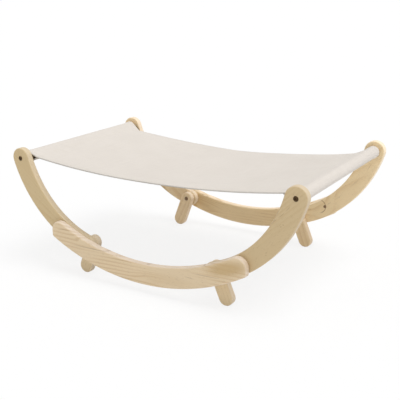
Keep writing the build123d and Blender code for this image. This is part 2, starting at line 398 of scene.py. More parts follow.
@dataclass(frozen=True)
class PineFinish:
    """Bare sanded pine: growth rings round a pith line, fibres along it, resin ticks and marks."""

    name: str
    pith_point: Point
    pith_direction: Point
    ring_width: float = 3.4 * MM
    waviness: float = 2.6 * MM
    contrast: float = 0.6
    sapwood: Colour = paint(230, 209, 175)
    latewood: Colour = paint(203, 170, 122)
    heartwood: Colour = paint(213, 180, 130)
    heart_radius: float = 22 * MM
    resin: Colour = paint(122, 84, 46)
    marks: tuple[Mark, ...] = ()
    # The board's tone: its own wood colour with painted light folded in.
    tone: Point = (1.0, 1.0, 1.0)
    board_middle: float = 0.0
    board_half: float = 7.5 * MM
    # Painted highlight on the edge faces: how much paler they turn, and how much of it shows.
    painted_rim_highlight_gain: Point = (1.02, 1.08, 1.30)
    rim_share: float = 0.0
    quiet: float = 0.12
    roughness: float = 0.58
    sway_fineness: Point = (2.2, 9, 9)
    ripple_fineness: Point = (14, 120, 120)
    patch_fineness: Point = (7, 26, 26)
    fibre_fineness: Point = (35, 1500, 1500)
    tone_fineness: Point = (5, 16, 16)
    tick_fineness: Point = (130, 1900, 1900)
    ripple_depth: float = 0.9 * MM

    def toned(self, colour: Colour) -> Colour:
        """Gives a colour times the board's tone, which carries painted light, with no part above the palest
        that bare wood reaches.
        """
        return (*(min(part * share, PALEST_WOOD) for part, share in zip(colour, self.tone)), 1.0)

    def pith_turn(self) -> Point:
        """Gives the turn that lays X along the pith, with Z kept near the board's depth."""
        along = Vector(self.pith_direction).normalized()
        depth = Vector((0, 1, 0)) if abs(along.y) < 0.9 else Vector((1, 0, 0))
        depth = (depth - along * depth.dot(along)).normalized()
        across = depth.cross(along)
        turn = Matrix((along, across, depth)).transposed().to_euler("XYZ")
        return (turn.x, turn.y, turn.z)

    def build(self) -> Material:
        """Makes the material.

        A ring's number is its distance from the pith over the ring width. Within a ring the wood is pale,
        then slowly darker, and turns pale again at once, as spring wood follows summer wood.

        Returns:
            The material.
        """
        shader = Shader(self.name)
        places = shader.object_places()
        along = shader.place(places, self.pith_point, self.pith_turn(), (1, 1, 1))
        slow = shader.grain(along, self.sway_fineness)
        sway = shader.scaled(slow, 2 * self.waviness * 4, -self.waviness * 4)
        quick = shader.grain(along, self.ripple_fineness)
        ripple = shader.scaled(quick, self.ripple_depth, -self.ripple_depth / 2)
        distance = shader.length(shader.vector("MULTIPLY", along, (0, 1, 1)))
        distance = shader.math("ADD", shader.math("ADD", distance, sway), ripple)
        masks = []
        tints = []
        for mark in self.marks:
            oval = shader.place(
                places,
                (mark.place[0], 0, mark.place[1]),
                (0, -math.radians(mark.turn_degrees), 0),
                (mark.size[0], 1, mark.size[1]),
            )
            reach = shader.length(shader.vector("MULTIPLY", oval, (1, 0, 1)))
            if mark.rings > 0:
                push = shader.rise(reach, mark.reach, 0.6, 0.0, mark.rings * self.ring_width)
                distance = shader.math("ADD", distance, push)
            if mark.tint > 0:
                tints.append(shader.rise(reach, mark.reach, 1.0, 0.0, mark.tint))
            if mark.strength == 0:
                continue
            full_from = 0.95 if mark.hollow > 0 else 0.3
            mask = shader.rise(reach, 1.0, full_from, 0.0, mark.strength)
            if mark.hollow > 0:
                inside = shader.rise(reach, mark.hollow - 0.04, mark.hollow + 0.04)
                open_side = shader.rise(shader.split(oval)[0], 0.0, 0.6)
                mask = shader.math("MULTIPLY", mask, shader.math("MULTIPLY", inside, open_side))
            masks.append(mask)
        ring = shader.math("FRACT", shader.math("DIVIDE", distance, self.ring_width))
        dark_part = shader.rise(ring, 0.35, 0.9)
        sudden = shader.rise(ring, 1.0, 0.93)
        late = shader.math("MULTIPLY", dark_part, sudden)
        patchy = shader.grain(along, self.patch_fineness, 1.0)
        late = shader.math("MULTIPLY", late, shader.rise(patchy, 0.3, 0.68, self.quiet, 1.0))
        late_share = shader.math("MULTIPLY", late, self.contrast)
        fibre = shader.grain(along, self.fibre_fineness, 3.0, 0.6)
        broad = shader.grain(along, self.tone_fineness)
        sapwood, heartwood, latewood = (self.toned(c) for c in (self.sapwood, self.heartwood, self.latewood))
        colour = shader.mix(shader.rise(distance, self.heart_radius, 0.0, 0.0, 0.85), sapwood, heartwood)
        for tint in tints:
            colour = shader.mix(tint, colour, heartwood)
        colour = shader.mix(late_share, colour, latewood)
        tone = shader.math("MULTIPLY", shader.scaled(fibre, 0.10, 0.95), shader.scaled(broad, 0.12, 0.94))
        grey = shader.add("ShaderNodeCombineColor", dict.fromkeys(range(3), tone)).outputs[0]
        colour = shader.mix(1.0, colour, grey, "MULTIPLY")
        ticks = shader.grain(along, self.tick_fineness, 0.0)
        colour = shader.mix(shader.rise(ticks, 0.72, 0.8, 0.0, 0.35), colour, self.resin)
        for mask in masks:
            colour = shader.mix(mask, colour, self.resin)
        # Painted highlight: the edge faces, away from the two broad faces, turn paler and less orange to
        # stand in for the light that catches the rounded edges.
        if self.rim_share > 0:
            depth = shader.math("SUBTRACT", shader.split(places)[1], self.board_middle)
            inside = shader.math("SUBTRACT", self.board_half, shader.math("ABSOLUTE", depth))
            rim = shader.rise(inside, 0.05 * MM, 2.0 * MM, 0.0, self.rim_share)
            rim_highlighted = shader.mix(1.0, colour, (*self.painted_rim_highlight_gain, 1.0), "MULTIPLY")
            colour = shader.mix(rim, colour, rim_highlighted)
        relief = shader.math("MULTIPLY_ADD", late, 0.5, shader.math("MULTIPLY", fibre, 0.5))
        shader.bump(relief, 0.12 * MM, 0.35)
        gloss = shader.scaled(fibre, 0.16, self.roughness - 0.08)
        return shader.finish(Base_Color=colour, Roughness=gloss, Specular_IOR_Level=0.35)


@dataclass(frozen=True)
class BeechFinish:
    """Plain turned beech with short dark flecks along the dowel."""

    name: str = "beech"
    body: Colour = paint(214, 182, 140)
    fleck: Colour = paint(158, 112, 72)

    def build(self) -> Material:
        """Makes the material: fine fibres along Y with a scatter of flecks."""
        shader = Shader(self.name)
        places = shader.object_places()
        fibre = shader.grain(places, (900, 40, 900), 3.0)
        scatter = shader.grain(places, (700, 160, 700), 0.0)
        flecks = shader.rise(scatter, 0.62, 0.72, 0.0, 0.6)
        colour = shader.mix(flecks, self.body, self.fleck)
        shader.bump(fibre, 0.1 * MM, 0.3)
        return shader.finish(Base_Color=colour, Roughness=shader.scaled(fibre, 0.2, 0.5))


@dataclass(frozen=True)
class CanvasFinish:
    """Off-white cotton canvas in plain weave, with uneven threads."""

    name: str = "canvas"
    body: Colour = paint(224, 217, 209)
    shade: Colour = paint(196, 188, 178)
    thread_pitch: float = 1.1 * MM
    weave_depth: float = 0.22 * MM

    def build(self) -> Material:
        """Makes the material.

        A thread's height is the absolute sine across it. The warp lies on top where the product of both
        sines is positive, and the weft elsewhere.

        Returns:
            The material.
        """
        shader = Shader(self.name)
        cloth = shader.add("ShaderNodeUVMap", {}, uv_map="cloth").outputs[0]
        along, across, _ = shader.split(cloth)
        turn = math.pi / self.thread_pitch
        warp_wave = shader.math("SINE", shader.math("MULTIPLY", along, turn))
        weft_wave = shader.math("SINE", shader.math("MULTIPLY", across, turn))
        warp_on_top = shader.rise(shader.math("MULTIPLY", warp_wave, weft_wave), -0.15, 0.15)
        warp = shader.math("ABSOLUTE", warp_wave)
        weft = shader.math("ABSOLUTE", weft_wave)
        gap = shader.math("SUBTRACT", warp, weft)
        height = shader.math("MULTIPLY_ADD", gap, warp_on_top, weft)
        long_threads = shader.grain(cloth, (14, 950, 0), 1.0)
        cross_threads = shader.grain(cloth, (950, 14, 0), 1.0)
        slub = shader.math("MULTIPLY", shader.math("ADD", long_threads, cross_threads), 0.5)
        fuzz = shader.grain(cloth, (3000, 3000, 0))
        broad = shader.noise(shader.object_places(), 9.0, 2.0)
        # The shade colour goes to the weave's low parts, where it is painted shade between the threads, and
        # to thick threads and broad patches, which is the cloth's own uneven tone.
        depth = shader.scaled(height, -0.35, 0.42)
        depth = shader.math("ADD", depth, shader.rise(slub, 0.35, 0.7, -0.10, 0.16))
        depth = shader.math("ADD", depth, shader.scaled(broad, 0.30, -0.15), clamp=True)
        colour = shader.mix(depth, self.body, self.shade)
        relief = shader.math("ADD", height, shader.math("MULTIPLY", fuzz, 0.25))
        shader.bump(relief, self.weave_depth, 0.5)
        return shader.finish(
            Base_Color=colour,
            Roughness=shader.scaled(fuzz, 0.1, 0.82),
            Specular_IOR_Level=0.2,
            Sheen_Weight=0.12,
            Sheen_Roughness=0.5,
        )


@dataclass(frozen=True)
class ThreadFinish:
    """Sewing thread of two twisted plies."""

    name: str
    body: Colour
    shade: Colour
    ply_pitch: float = 0.9 * MM

    def build(self) -> Material:
        """Makes the material: stripes that lean across the thread's own coordinates."""
        shader = Shader(self.name)
        cloth = shader.add("ShaderNodeUVMap", {}, uv_map="cloth").outputs[0]
        along, across, _ = shader.split(cloth)
        lean = shader.math("ADD", along, shader.math("MULTIPLY", across, self.ply_pitch))
        wave = shader.math("SINE", shader.math("MULTIPLY", lean, FULL_TURN / self.ply_pitch))
        fuzz = shader.noise(shader.object_places(), 2500.0, 2.0)
        share = shader.math("MULTIPLY_ADD", wave, 0.3, fuzz, clamp=True)
        shader.bump(share, 0.08 * MM, 0.4)
        colour = shader.mix(share, self.shade, self.body)
        return shader.finish(Base_Color=colour, Roughness=0.75, Sheen_Weight=0.15)


@dataclass(frozen=True)
class MetalFinish:
    """Plated metal with faint scratches and a cloudy tone."""

    name: str
    body: Colour
    worn: Colour
    roughness: float = 0.38

    def build(self) -> Material:
        """Makes the material: cloudy noise for the plating and fine noise for the scratches."""
        shader = Shader(self.name)
        places = shader.object_places()
        cloud = shader.noise(places, 420.0, 3.0)
        scratch = shader.grain(places, (5000, 900, 5000))
        colour = shader.mix(shader.rise(cloud, 0.48, 0.72, 0.0, 0.7), self.body, self.worn)
        shader.bump(scratch, 0.03 * MM, 0.3)
        gloss = shader.scaled(scratch, 0.25, self.roughness - 0.12)
        return shader.finish(Base_Color=colour, Metallic=0.85, Roughness=gloss)


def along_angle(degrees: float, sign: int, lean: float = 0.0) -> Point:
    """Gives a direction in the board's plane at an angle above X, for the side with the given sign.

    Args:
        degrees: The angle above the floor, on the right-hand side.
        sign: 1 on the right and -1 on the left.
        lean: How far the direction leans along Y.

    Returns:
        The direction, not yet of length 1.
    """
    angle = math.radians(degrees)
    return (sign * math.cos(angle), lean, math.sin(angle))


def corner_nodes(kind: str) -> list[tuple[int, str, Depth, Side]]:
    """Lists the four boards of a kind.

    Args:
        kind: The first word of their node names.

    Returns:
        Each board's number, node name, depth and side.
    """
    pairs = [(depth, side) for depth in Depth for side in Side]
    return [(n, f"{kind}_{d.name.lower()}_{s.name.lower()}", d, s) for n, (d, s) in enumerate(pairs)]


@dataclass
class WoodFrame:
    """The four arms, two rails, four feet and two rods: each board has its own grain."""

    # Each board's tone mixes its own wood colour with painted light: the tones are fitted to each board's
    # brightness, so the back boards lying in the sheet's shade are lightened to make up for it.
    wood_tones_and_painted_light: dict[str, Point] = field(
        default_factory=lambda: {
            "arm_front_right": (0.82, 0.785, 0.68),
            "arm_front_left": (0.83, 0.80, 0.68),
            "arm_back_right": (1.18, 1.17, 1.08),
            "arm_back_left": (1.10, 1.07, 1.00),
            "rail_front": (0.97, 0.96, 0.94),
            "rail_back": (1.10, 1.06, 0.93),
            "foot_front_right": (1.07, 1.06, 1.0),
            "foot_front_left": (1.0, 1.0, 0.95),
            "foot_back_right": (1.18, 1.14, 1.05),
            "foot_back_left": (1.18, 1.15, 1.10),
        }
    )
    arm_grain_degrees: float = 44.0
    foot_grain_degrees: float = -68.0
    front_right_marks: tuple[Mark, ...] = (
        Mark((0.2808, 0.1909), (0.0072, 0.0006), 43, 0.55),
        Mark((0.2935, 0.2025), (0.0090, 0.0007), 42, 0.50),
        Mark((0.3060, 0.2165), (0.0085, 0.0006), 53, 0.40),
        Mark((0.2932, 0.1820), (0.0013, 0.0010), 20, 0.55),
        Mark((0.2970, 0.1863), (0.0012, 0.0009), 20, 0.55),
    )
    front_left_marks: tuple[Mark, ...] = (
        Mark((-0.3269, 0.2042), (0.0018, 0.0012), -60, 0.6, rings=2.2),
    )
    back_right_marks: tuple[Mark, ...] = (
        Mark((0.1995, 0.0974), (0.0166, 0.0166), 0, 0.55, hollow=0.86, rings=1.6),
        Mark((0.2235, 0.1078), (0.0060, 0.0008), 40, 0.40),
        Mark((0.2810, 0.1620), (0.0200, 0.0014), 45, 0.16),
        Mark((0.2440, 0.1240), (0.0160, 0.0010), 42, 0.18),
        Mark((0.3120, 0.2020), (0.0140, 0.0012), 60, 0.20),
    )
    front_rail_marks: tuple[Mark, ...] = (
        Mark((0.1920, 0.0890), (0.0170, 0.0054), 14, 0.0, reach=3.6, tint=0.9),
        Mark((0.1495, 0.0665), (0.0420, 0.0014), 1, 0.30),
        Mark((0.1118, 0.0555), (0.0145, 0.0012), -4, 0.26),
        Mark((0.1403, 0.0863), (0.0130, 0.0012), -2, 0.28),
        Mark((0.0125, 0.0625), (0.0085, 0.0011), -3, 0.22),
        Mark((-0.0492, 0.0608), (0.0310, 0.0012), 0, 0.22),
        Mark((-0.1277, 0.0712), (0.0670, 0.0015), 0, 0.32),
        Mark((-0.1972, 0.1001), (0.0220, 0.0013), 3, 0.28),
        Mark((-0.1150, 0.0850), (0.0240, 0.0045), -6, 0.0, rings=1.6, reach=3.0),
        Mark((0.0500, 0.0400), (0.0300, 0.0050), 2, 0.0, rings=1.3, reach=3.0, tint=0.2),
    )
    back_rail_marks: tuple[Mark, ...] = (
        Mark((-0.1600, 0.0700), (0.0300, 0.0060), -14, 0.0, rings=3.0, tint=0.4),
    )
    pieces: list[str] = field(default_factory=list)

    def dress_arms(self) -> None:
        """Gives each arm its own plank: the grain runs straight from the foot bolt to the rod."""
        marks = {
            (Depth.FRONT, Side.RIGHT): self.front_right_marks,
            (Depth.FRONT, Side.LEFT): self.front_left_marks,
            (Depth.BACK, Side.RIGHT): self.back_right_marks,
        }
        for number, name, depth, side in corner_nodes("arm"):
            pith = (0.05 * side.value, (0.05 + 0.012 * number) * depth.value, -0.02)
            self.dress_board(
                name,
                pith,
                along_angle(self.arm_grain_degrees, side.value, 0.05 * (number - 1.5)),
                ring_width=(4.6 + 0.5 * number) * MM,
                contrast=0.34 if depth is Depth.FRONT else 0.5,
                marks=marks.get((depth, side), ()),
                rim_share=1.0,
            )

    def dress_rails(self) -> None:
        """Gives each rail a wide plank of level grain, with streaks and a darker figure at one end."""
        marks = {Depth.FRONT: self.front_rail_marks, Depth.BACK: self.back_rail_marks}
        for depth in Depth:
            name = f"rail_{depth.name.lower()}"
            low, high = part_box(name)
            self.dress_board(
                name,
                (0.0, -0.030 * depth.value, (high.z - low.z) / 2 + 0.045),
                (1.0, -0.02 * depth.value, 0.0),
                ring_width=7.0 * MM,
                waviness=3.2 * MM,
                contrast=0.55,
                quiet=0.0,
                sapwood=paint(233, 212, 179),
                heartwood=paint(206, 178, 132),
                marks=marks[depth],
                rim_share=1.0,
            )

    def dress_feet(self) -> None:
        """Gives each foot straight grain along its length."""
        for number, name, _, side in corner_nodes("foot"):
            grain = along_angle(self.foot_grain_degrees, side.value, 0.04)
            pith = (-0.03, 0.03 + 0.01 * number, 0.0)
            self.dress_board(name, pith, grain, ring_width=3.8 * MM, contrast=0.4, rim_share=0.8)

    def dress_rods(self) -> None:
        """Gives each rod straight grain along Y."""
        for side in Side:
            name = f"rod_{side.name.lower()}"
            low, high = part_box(name)
            pith = (low.x - 0.02, 0.0, high.z + 0.01)
            dress_node(name, PineFinish(f"pine_{name}", pith, (0.02, 1.0, 0.0), contrast=0.5).build())
            self.pieces.append(name)

    def dress_board(self, name: str, pith: Point, grain: Point, **looks: object) -> None:
        """Gives a board its own pine, with its tone, which carries painted light, and its place in depth.

        Args:
            name: The board's node.
            pith: A point on the pith line, seen from the middle of the board's box.
            grain: The pith line's direction.
            **looks: Other values of the finish.
        """
        low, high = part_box(name)
        middle = (low + high) / 2
        place = tuple(part + step for part, step in zip(middle, pith))
        # The tone carries painted light as well as the board's own colour.
        tone = self.wood_tones_and_painted_light[name]
        finish = PineFinish(f"pine_{name}", place, grain, tone=tone, board_middle=middle.y, **looks)
        dress_node(name, finish.build())
        self.pieces.append(name)

    def build(self) -> None:
        """Dresses every wooden board and rod."""
        self.dress_arms()
        self.dress_rails()
        self.dress_feet()
        self.dress_rods()
        log.info("wood frame: %d pieces dressed", len(self.pieces))


def dress_node(node: str, material: Material) -> None:
    """Puts one material on a CAD node.

    Args:
        node: The node's name.
        material: The finish.
    """
    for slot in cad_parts[node].material_slots:
        slot.material = material


@dataclass
class Fasteners:
    """Bolts, screws, inserts and dowels."""

    dark: MetalFinish = MetalFinish("dark_plating", paint(78, 60, 40), paint(120, 92, 60))
    bronze: MetalFinish = MetalFinish("worn_bronze", paint(132, 108, 84), paint(168, 144, 114), 0.5)
    brass: MetalFinish = MetalFinish("brass", paint(205, 172, 104), paint(168, 132, 74), 0.3)
    beech: BeechFinish = BeechFinish()

    def build(self) -> None:
        """Dresses the fasteners of both frames."""
        dark, bronze, brass = self.dark.build(), self.bronze.build(), self.brass.build()
        finishes = {
            "rod_bolts": dark,
            "foot_bolts": bronze,
            "arm_screws": bronze,
            "rod_inserts": brass,
            "rail_inserts": brass,
            "foot_dowels": self.beech.build(),
        }
        for depth in Depth:
            for group, material in finishes.items():
                dress_node(f"{group}_{depth.name.lower()}", material)
                log.info("fasteners: %s_%s dressed", group, depth.name.lower())


@dataclass
class HammockSheet:
    """The sewn canvas: a sagging band, a sleeve round each rod, hems, seams and overlocked edges.

    The cloth is one strip. It starts under the band beside the left seam, goes round the left rod, crosses to
    the right rod, goes round it and ends under the band again. Its section has a hem folded under along each
    long edge.
    """

    cloth: float = 0.9 * MM
    hem_width: float = 12 * MM
    hem_folds: int = 2
    pressed: float = 0.6
    hem_blend: float = 5 * MM
    seam_from_rod: float = 28 * MM
    seam_allowance: float = 4 * MM
    sleeve_room: float = 0.3 * MM
    layer_gap: float = 0.1 * MM
    round_off: float = 1.6 * MM
    sag_shares: Point = (0.70, 1.09, 1.25)
    seam_heights: Point = (2.0 * MM, 5.0 * MM, -9.5 * MM)
    curve_powers: Point = (2.2, 2.0, 1.5)
    edge_droop_power: float = 6.0
    lane_count: int = 93
    pucker: float = 0.4 * MM
    gather_reach: float = 9 * MM
    gather_pitches: Point = (0.0172, 0.0113, 0.0269)
    gather_shares: Point = (0.4, 0.25, 0.35)
    ripple: float = 0.7 * MM
    fold_start: float = 20 * MM
    fold_pitches: tuple[float, float] = (0.118, 0.071)
    fold_drifts: tuple[float, float] = (0.35, -0.55)
    top_points: int = 84
    low_points: int = 74
    hem_points: int = 5
    rim_points: int = 7
    path_points: int = 4000
    coarse_step: float = 5.5 * MM
    fine_step: float = 1.5 * MM
    dense_step: float = 0.2 * MM
    stitch_pitch: float = 3.6 * MM
    stitch_length: float = 2.9 * MM
    stitch_radius: float = 0.27 * MM
    overlock_pitch: float = 1.5 * MM
    overlock_radius: float = 0.26 * MM
    overlock_bite: float = 2.9 * MM
    overlock_steps: int = 10
    overlock_sides: int = 5
    seed: int = 11

    def __post_init__(self) -> None:
        """Reads the rods' and the sheet's places, and works out the cloth's line in each lane."""
        low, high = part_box("rod_right")
        self.rod_x = (low.x + high.x) / 2
        self.rod_z = (low.z + high.z) / 2
        self.rod_radius = (high.x - low.x) / 2
        sheet_low, sheet_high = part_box("hammock_sheet")
        self.half_width = sheet_high.y
        self.sag = self.rod_z - sheet_low.z - self.cloth
        self.seam_x = self.rod_x - self.seam_from_rod
        self.hem_extra = self.hem_folds * self.cloth * self.pressed
        self.lanes = np.linspace(-self.half_width, self.half_width, self.lane_count)
        lines = self.strip_lines()
        slopes = np.gradient(lines, axis=1)
        slopes /= np.linalg.norm(slopes, axis=2, keepdims=True)
        self.table = np.concatenate([lines, slopes], axis=2)
        self.middle_line = lines[self.lane_count // 2]
        steps = np.hypot(*np.diff(self.middle_line, axis=0).T)
        self.line_length = np.concatenate([[0.0], np.cumsum(steps)])
        self.total = float(self.line_length[-1])
        draw = np.random.default_rng(self.seed)
        self.waves = draw.uniform(0, FULL_TURN, 6)

    def across(self, y: np.ndarray, values: Point, power: float) -> np.ndarray:
        """Moves from the middle's value to an edge's by a power of the share of the way to that edge.

        Args:
            y: Places across the cloth.
            values: The value at the front edge, in the middle and at the back edge.
            power: 2 for an even change, and more for one that keeps to the edges.

        Returns:
            The values, in the shape of y.
        """
        front, middle, back = values
        share = y / self.half_width
        to_front = np.maximum(-share, 0) ** power
        to_back = np.maximum(share, 0) ** power
        return middle + (front - middle) * to_front + (back - middle) * to_back

    def hemmed(self, y: np.ndarray) -> np.ndarray:
        """Gives 1 on the hems and 0 inside them, with a short blend."""
        inner = self.half_width - self.hem_width
        return smooth_step(np.abs(y), inner - self.hem_blend, inner)

    def strip_lines(self) -> np.ndarray:
        """Works out the cloth's middle line in the XZ plane, from end to end, for each lane across it.

        The right half is the band, which rises from its lowest height by a power of x, a tangent to the
        sleeve's circle, the arc round the rod, the tangent back to the seam and the allowance under the band.
        The left half mirrors it. A bell curve rounds off the kinks.

        Returns:
            The lines as an array of lanes by points by (x, z).
        """
        y = self.lanes[:, None]
        extra = self.hem_extra * self.hemmed(y)
        lowest = self.rod_z - self.sag * self.across(y, self.sag_shares, 2)
        tip = self.rod_z + self.across(y, self.seam_heights, self.edge_droop_power)
        power = self.across(y, self.curve_powers, 2)
        radius = self.rod_radius + self.sleeve_room + self.cloth / 2 + extra
        fall = self.rod_z - tip
        bearing = np.arctan2(fall, self.seam_from_rod)
        turn = np.arccos(radius / np.hypot(self.seam_from_rod, fall))
        stack = self.cloth + 2 * extra + self.layer_gap

        band_x = self.spread(0, self.seam_x, self.seam_x)
        under_x = self.spread(self.seam_x, self.seam_x - self.seam_allowance, self.seam_allowance)
        band_z, under_z = (lowest + (tip - lowest) * (x / self.seam_x) ** power for x in (band_x, under_x))
        angles = math.pi + bearing - turn + self.spread(0, 1, 4 * self.rod_radius) * 2 * (turn - math.pi)
        arc_x = self.rod_x + radius * np.cos(angles)
        arc_z = self.rod_z + radius * np.sin(angles)
        share = self.spread(0, 1, self.seam_from_rod)
        up_x = self.seam_x + share * (arc_x[:, :1] - self.seam_x)
        up_z = tip + share * (arc_z[:, :1] - tip)
        down_x = arc_x[:, -1:] + share * (self.seam_x - arc_x[:, -1:])
        down_z = arc_z[:, -1:] + share * (tip - stack - arc_z[:, -1:])
        whole_band_x = np.broadcast_to(band_x, band_z.shape)
        whole_under_x = np.broadcast_to(under_x, under_z.shape)
        x_parts = [whole_band_x] + [part[:, 1:] for part in (up_x, arc_x, down_x, whole_under_x)]
        z_parts = [band_z] + [part[:, 1:] for part in (up_z, arc_z, down_z, under_z - stack)]
        x, z = (np.concatenate(parts, axis=1) for parts in (x_parts, z_parts))
        whole_x = np.concatenate([-x[:, :0:-1], x], axis=1)
        whole_z = np.concatenate([z[:, :0:-1], z], axis=1)
        return np.stack([self.rounded(line) for line in np.stack([whole_x, whole_z], axis=2)])

    def spread(self, start: float, end: float, length: float) -> np.ndarray:
        """Evenly spaced numbers, one for each dense step of the given length."""
        return np.linspace(start, end, max(3, round(length / self.dense_step) + 1))

    def rounded(self, line: np.ndarray) -> np.ndarray:
        """Rounds a dense line with a bell curve, and keeps its ends.

        Args:
            line: The line's points.

        Returns:
            As many points.
        """
        spread = self.round_off / self.dense_step
        reach = int(3 * spread)
        bell = np.exp(-0.5 * (np.arange(-reach, reach + 1) / spread) ** 2)
        bell /= bell.sum()
        start = 2 * line[0] - line[reach:0:-1]
        end = 2 * line[-1] - line[-2 : -reach - 2 : -1]
        padded = np.concatenate([start, line, end])
        return np.stack([np.convolve(padded[:, axis], bell, "valid") for axis in range(2)], axis=1)

    def surface(self, along: np.ndarray, y: np.ndarray, lift: np.ndarray) -> np.ndarray:
        """Places points of the cloth in space.

        The middle line is mixed from the two nearest lanes. The point stands off that line by lift along the
        line's normal, and the band's ripples and puckers move it.

        Args:
            along: Distance along the cloth, from its left end.
            y: Place across the cloth.
            lift: Distance from the middle layer, outwards or upwards.

        Returns:
            An array of points, in the shape of the inputs' sum.
        """
        along, y, lift = np.broadcast_arrays(along, y, lift)
        column = np.interp(along, self.line_length, np.arange(self.line_length.size))
        lane = (y / self.half_width + 1) / 2 * (self.lane_count - 1)
        x, z, slope_x, slope_z = self.read_table(lane, column)
        size = np.hypot(slope_x, slope_z)
        x = x - slope_z / size * lift
        z = z + slope_x / size * lift
        from_seam = np.maximum(self.seam_x - np.abs(x), 0)
        hold = smooth_step(np.abs(y), self.half_width, self.half_width - 3 * self.hem_width)
        z = z + self.folds(x, y) * hold * smooth_step(from_seam, 0, self.fold_start) * self.ripple
        near_seam = from_seam / self.gather_reach * np.exp(1 - from_seam / self.gather_reach)
        z = z + self.gathers(y, np.sign(x)) * near_seam * self.pucker
        return np.stack([x, y, z], axis=-1)

    def read_table(self, lane: np.ndarray, column: np.ndarray) -> np.ndarray:
        """Reads the lanes' lines and slopes between their points, by the shares of the four nearest ones.

        Args:
            lane: The lane's number, with a fraction.
            column: The point's number on the lane, with a fraction.

        Returns:
            Places and slopes as an array of 4 by the shape of the inputs.
        """
        near = np.clip(lane.astype(int), 0, self.lane_count - 2)
        before = np.clip(column.astype(int), 0, self.line_length.size - 2)
        side = (lane - near)[..., None]
        step = (column - before)[..., None]
        low = self.table[near, before] * (1 - step) + self.table[near, before + 1] * step
        high = self.table[near + 1, before] * (1 - step) + self.table[near + 1, before + 1] * step
        return np.moveaxis(low * (1 - side) + high * side, -1, 0)

    def folds(self, x: np.ndarray, y: np.ndarray) -> np.ndarray:
        """Long shallow folds along the band: two slow waves across it that drift along it."""
        waves = zip(self.fold_pitches, self.fold_drifts, self.waves[:2])
        first, second = (
            np.sin(FULL_TURN * (y / pitch + drift * x / self.seam_x) + phase) for pitch, drift, phase in waves
        )
        fade = 0.45 + 0.55 * (x / self.seam_x) ** 2
        return (0.6 * first + 0.4 * second) * fade

    def gathers(self, y: np.ndarray, sign: np.ndarray) -> np.ndarray:
        """Small gathers beside the seams: three waves of uneven length across the cloth."""
        waves = zip(self.gather_pitches, self.gather_shares, self.waves[2:5])
        return sum(size * np.sin(FULL_TURN * y / pitch + phase * (2 + sign)) for pitch, size, phase in waves)

    def section(self) -> tuple[np.ndarray, np.ndarray]:
        """The cloth's closed section: top, rounded edge, hem underside, its step and the plain underside.

        Returns:
            The places across and the lifts, in order round the section.
        """
        half, radius = self.cloth / 2, (self.cloth + self.hem_extra) / 2
        edge = self.half_width - radius
        inner = self.half_width - self.hem_width
        top = np.linspace(-edge, edge, self.top_points)
        turn = np.linspace(math.pi / 2, -math.pi / 2, self.rim_points + 2)[1:-1]
        rim_y = edge + radius * np.cos(turn)
        rim_lift = -self.hem_extra / 2 + radius * np.sin(turn)
        hem_y = np.linspace(edge, inner, self.hem_points)
        hem_lift = np.full(self.hem_points, -half - self.hem_extra)
        step_y = inner - np.array([0.15, 0.3, 0.6]) * MM
        step_lift = -half - self.hem_extra * np.array([0.85, 0.35, 0.0])
        low_y = np.linspace(step_y[-1], -step_y[-1], self.low_points + 2)[1:-1]
        top_lift, low_lift = np.full(self.top_points, half), np.full(self.low_points, -half)
        right_y, right_lift = (rim_y, hem_y, step_y), (rim_lift, hem_lift, step_lift)
        y = np.concatenate([top, *right_y, low_y, *(-part[::-1] for part in right_y[::-1])])
        lift = np.concatenate([top_lift, *right_lift, low_lift, *(part[::-1] for part in right_lift[::-1])])
        return y, lift

    def stations(self) -> np.ndarray:
        """Places along the cloth for its rings: close together round the rods, wider on the band."""
        path = np.linspace(0, self.total, self.path_points)
        x = np.interp(path, self.line_length, self.middle_line[:, 0])
        openness = smooth_step(self.seam_x - np.abs(x), 4 * MM, 30 * MM)
        step = self.fine_step + (self.coarse_step - self.fine_step) * openness
        count = np.concatenate([[0], np.cumsum(self.total / (self.path_points - 1) / step[1:])])
        return np.interp(np.linspace(0, count[-1], round(count[-1]) + 1), count, path)

    def make_sheet(self) -> Piece:
        """Carries the section along the strip and closes both ends."""
        along = self.stations()
        y, lift = self.section()
        corners = self.surface(along[:, None], y[None, :], lift[None, :])
        rows, columns = corners.shape[:2]
        faces = tube_faces(rows, columns)
        steps = np.hypot(np.diff(y, append=y[0]), np.diff(lift, append=lift[0]))
        girth = np.concatenate([[0.0], np.cumsum(steps)])
        piece = mesh_piece("canvas_sheet", corners, faces, tube_uv(faces, columns, along, girth))
        cap_ends(piece, rows, columns)
        return piece

    def make_overlock(self, depth: Depth) -> Piece:
        """Winds a thread round one long edge: a flattened spiral of even pitch.

        Args:
            depth: Which edge.

        Returns:
            The thread's piece.
        """
        turns = self.total / self.overlock_pitch
        angle = np.linspace(0, FULL_TURN * turns, round(turns * self.overlock_steps) + 1)
        along = np.linspace(0, self.total, len(angle))
        reach_lift = (self.cloth + self.hem_extra) / 2 + 0.5 * self.overlock_radius
        centre_y = self.half_width - self.overlock_bite / 2 + self.overlock_radius
        y = depth.value * (centre_y + self.overlock_bite / 2 * np.cos(angle))
        lift = -self.hem_extra / 2 + reach_lift * np.sin(angle)
        line = self.surface(along, y, lift)
        name = f"edge_thread_{depth.name.lower()}"
        return thread_tube(name, line, self.overlock_radius, self.overlock_sides)

    def row(
        self, along: np.ndarray, y: np.ndarray, lift: float, reach: tuple[float, float]
    ) -> tuple[np.ndarray, np.ndarray]:
        """Starts and ends of a row's stitches.

        Args:
            along: Where the stitches start along the cloth: one value, or one for each.
            y: Where they start across the cloth: one value, or one for each.
            lift: How far the row stands off the cloth's middle layer.
            reach: A stitch's length along the cloth and across it.

        Returns:
            The stitches' start points and end points.
        """
        return self.surface(along, y, lift), self.surface(along + reach[0], y + reach[1], lift)

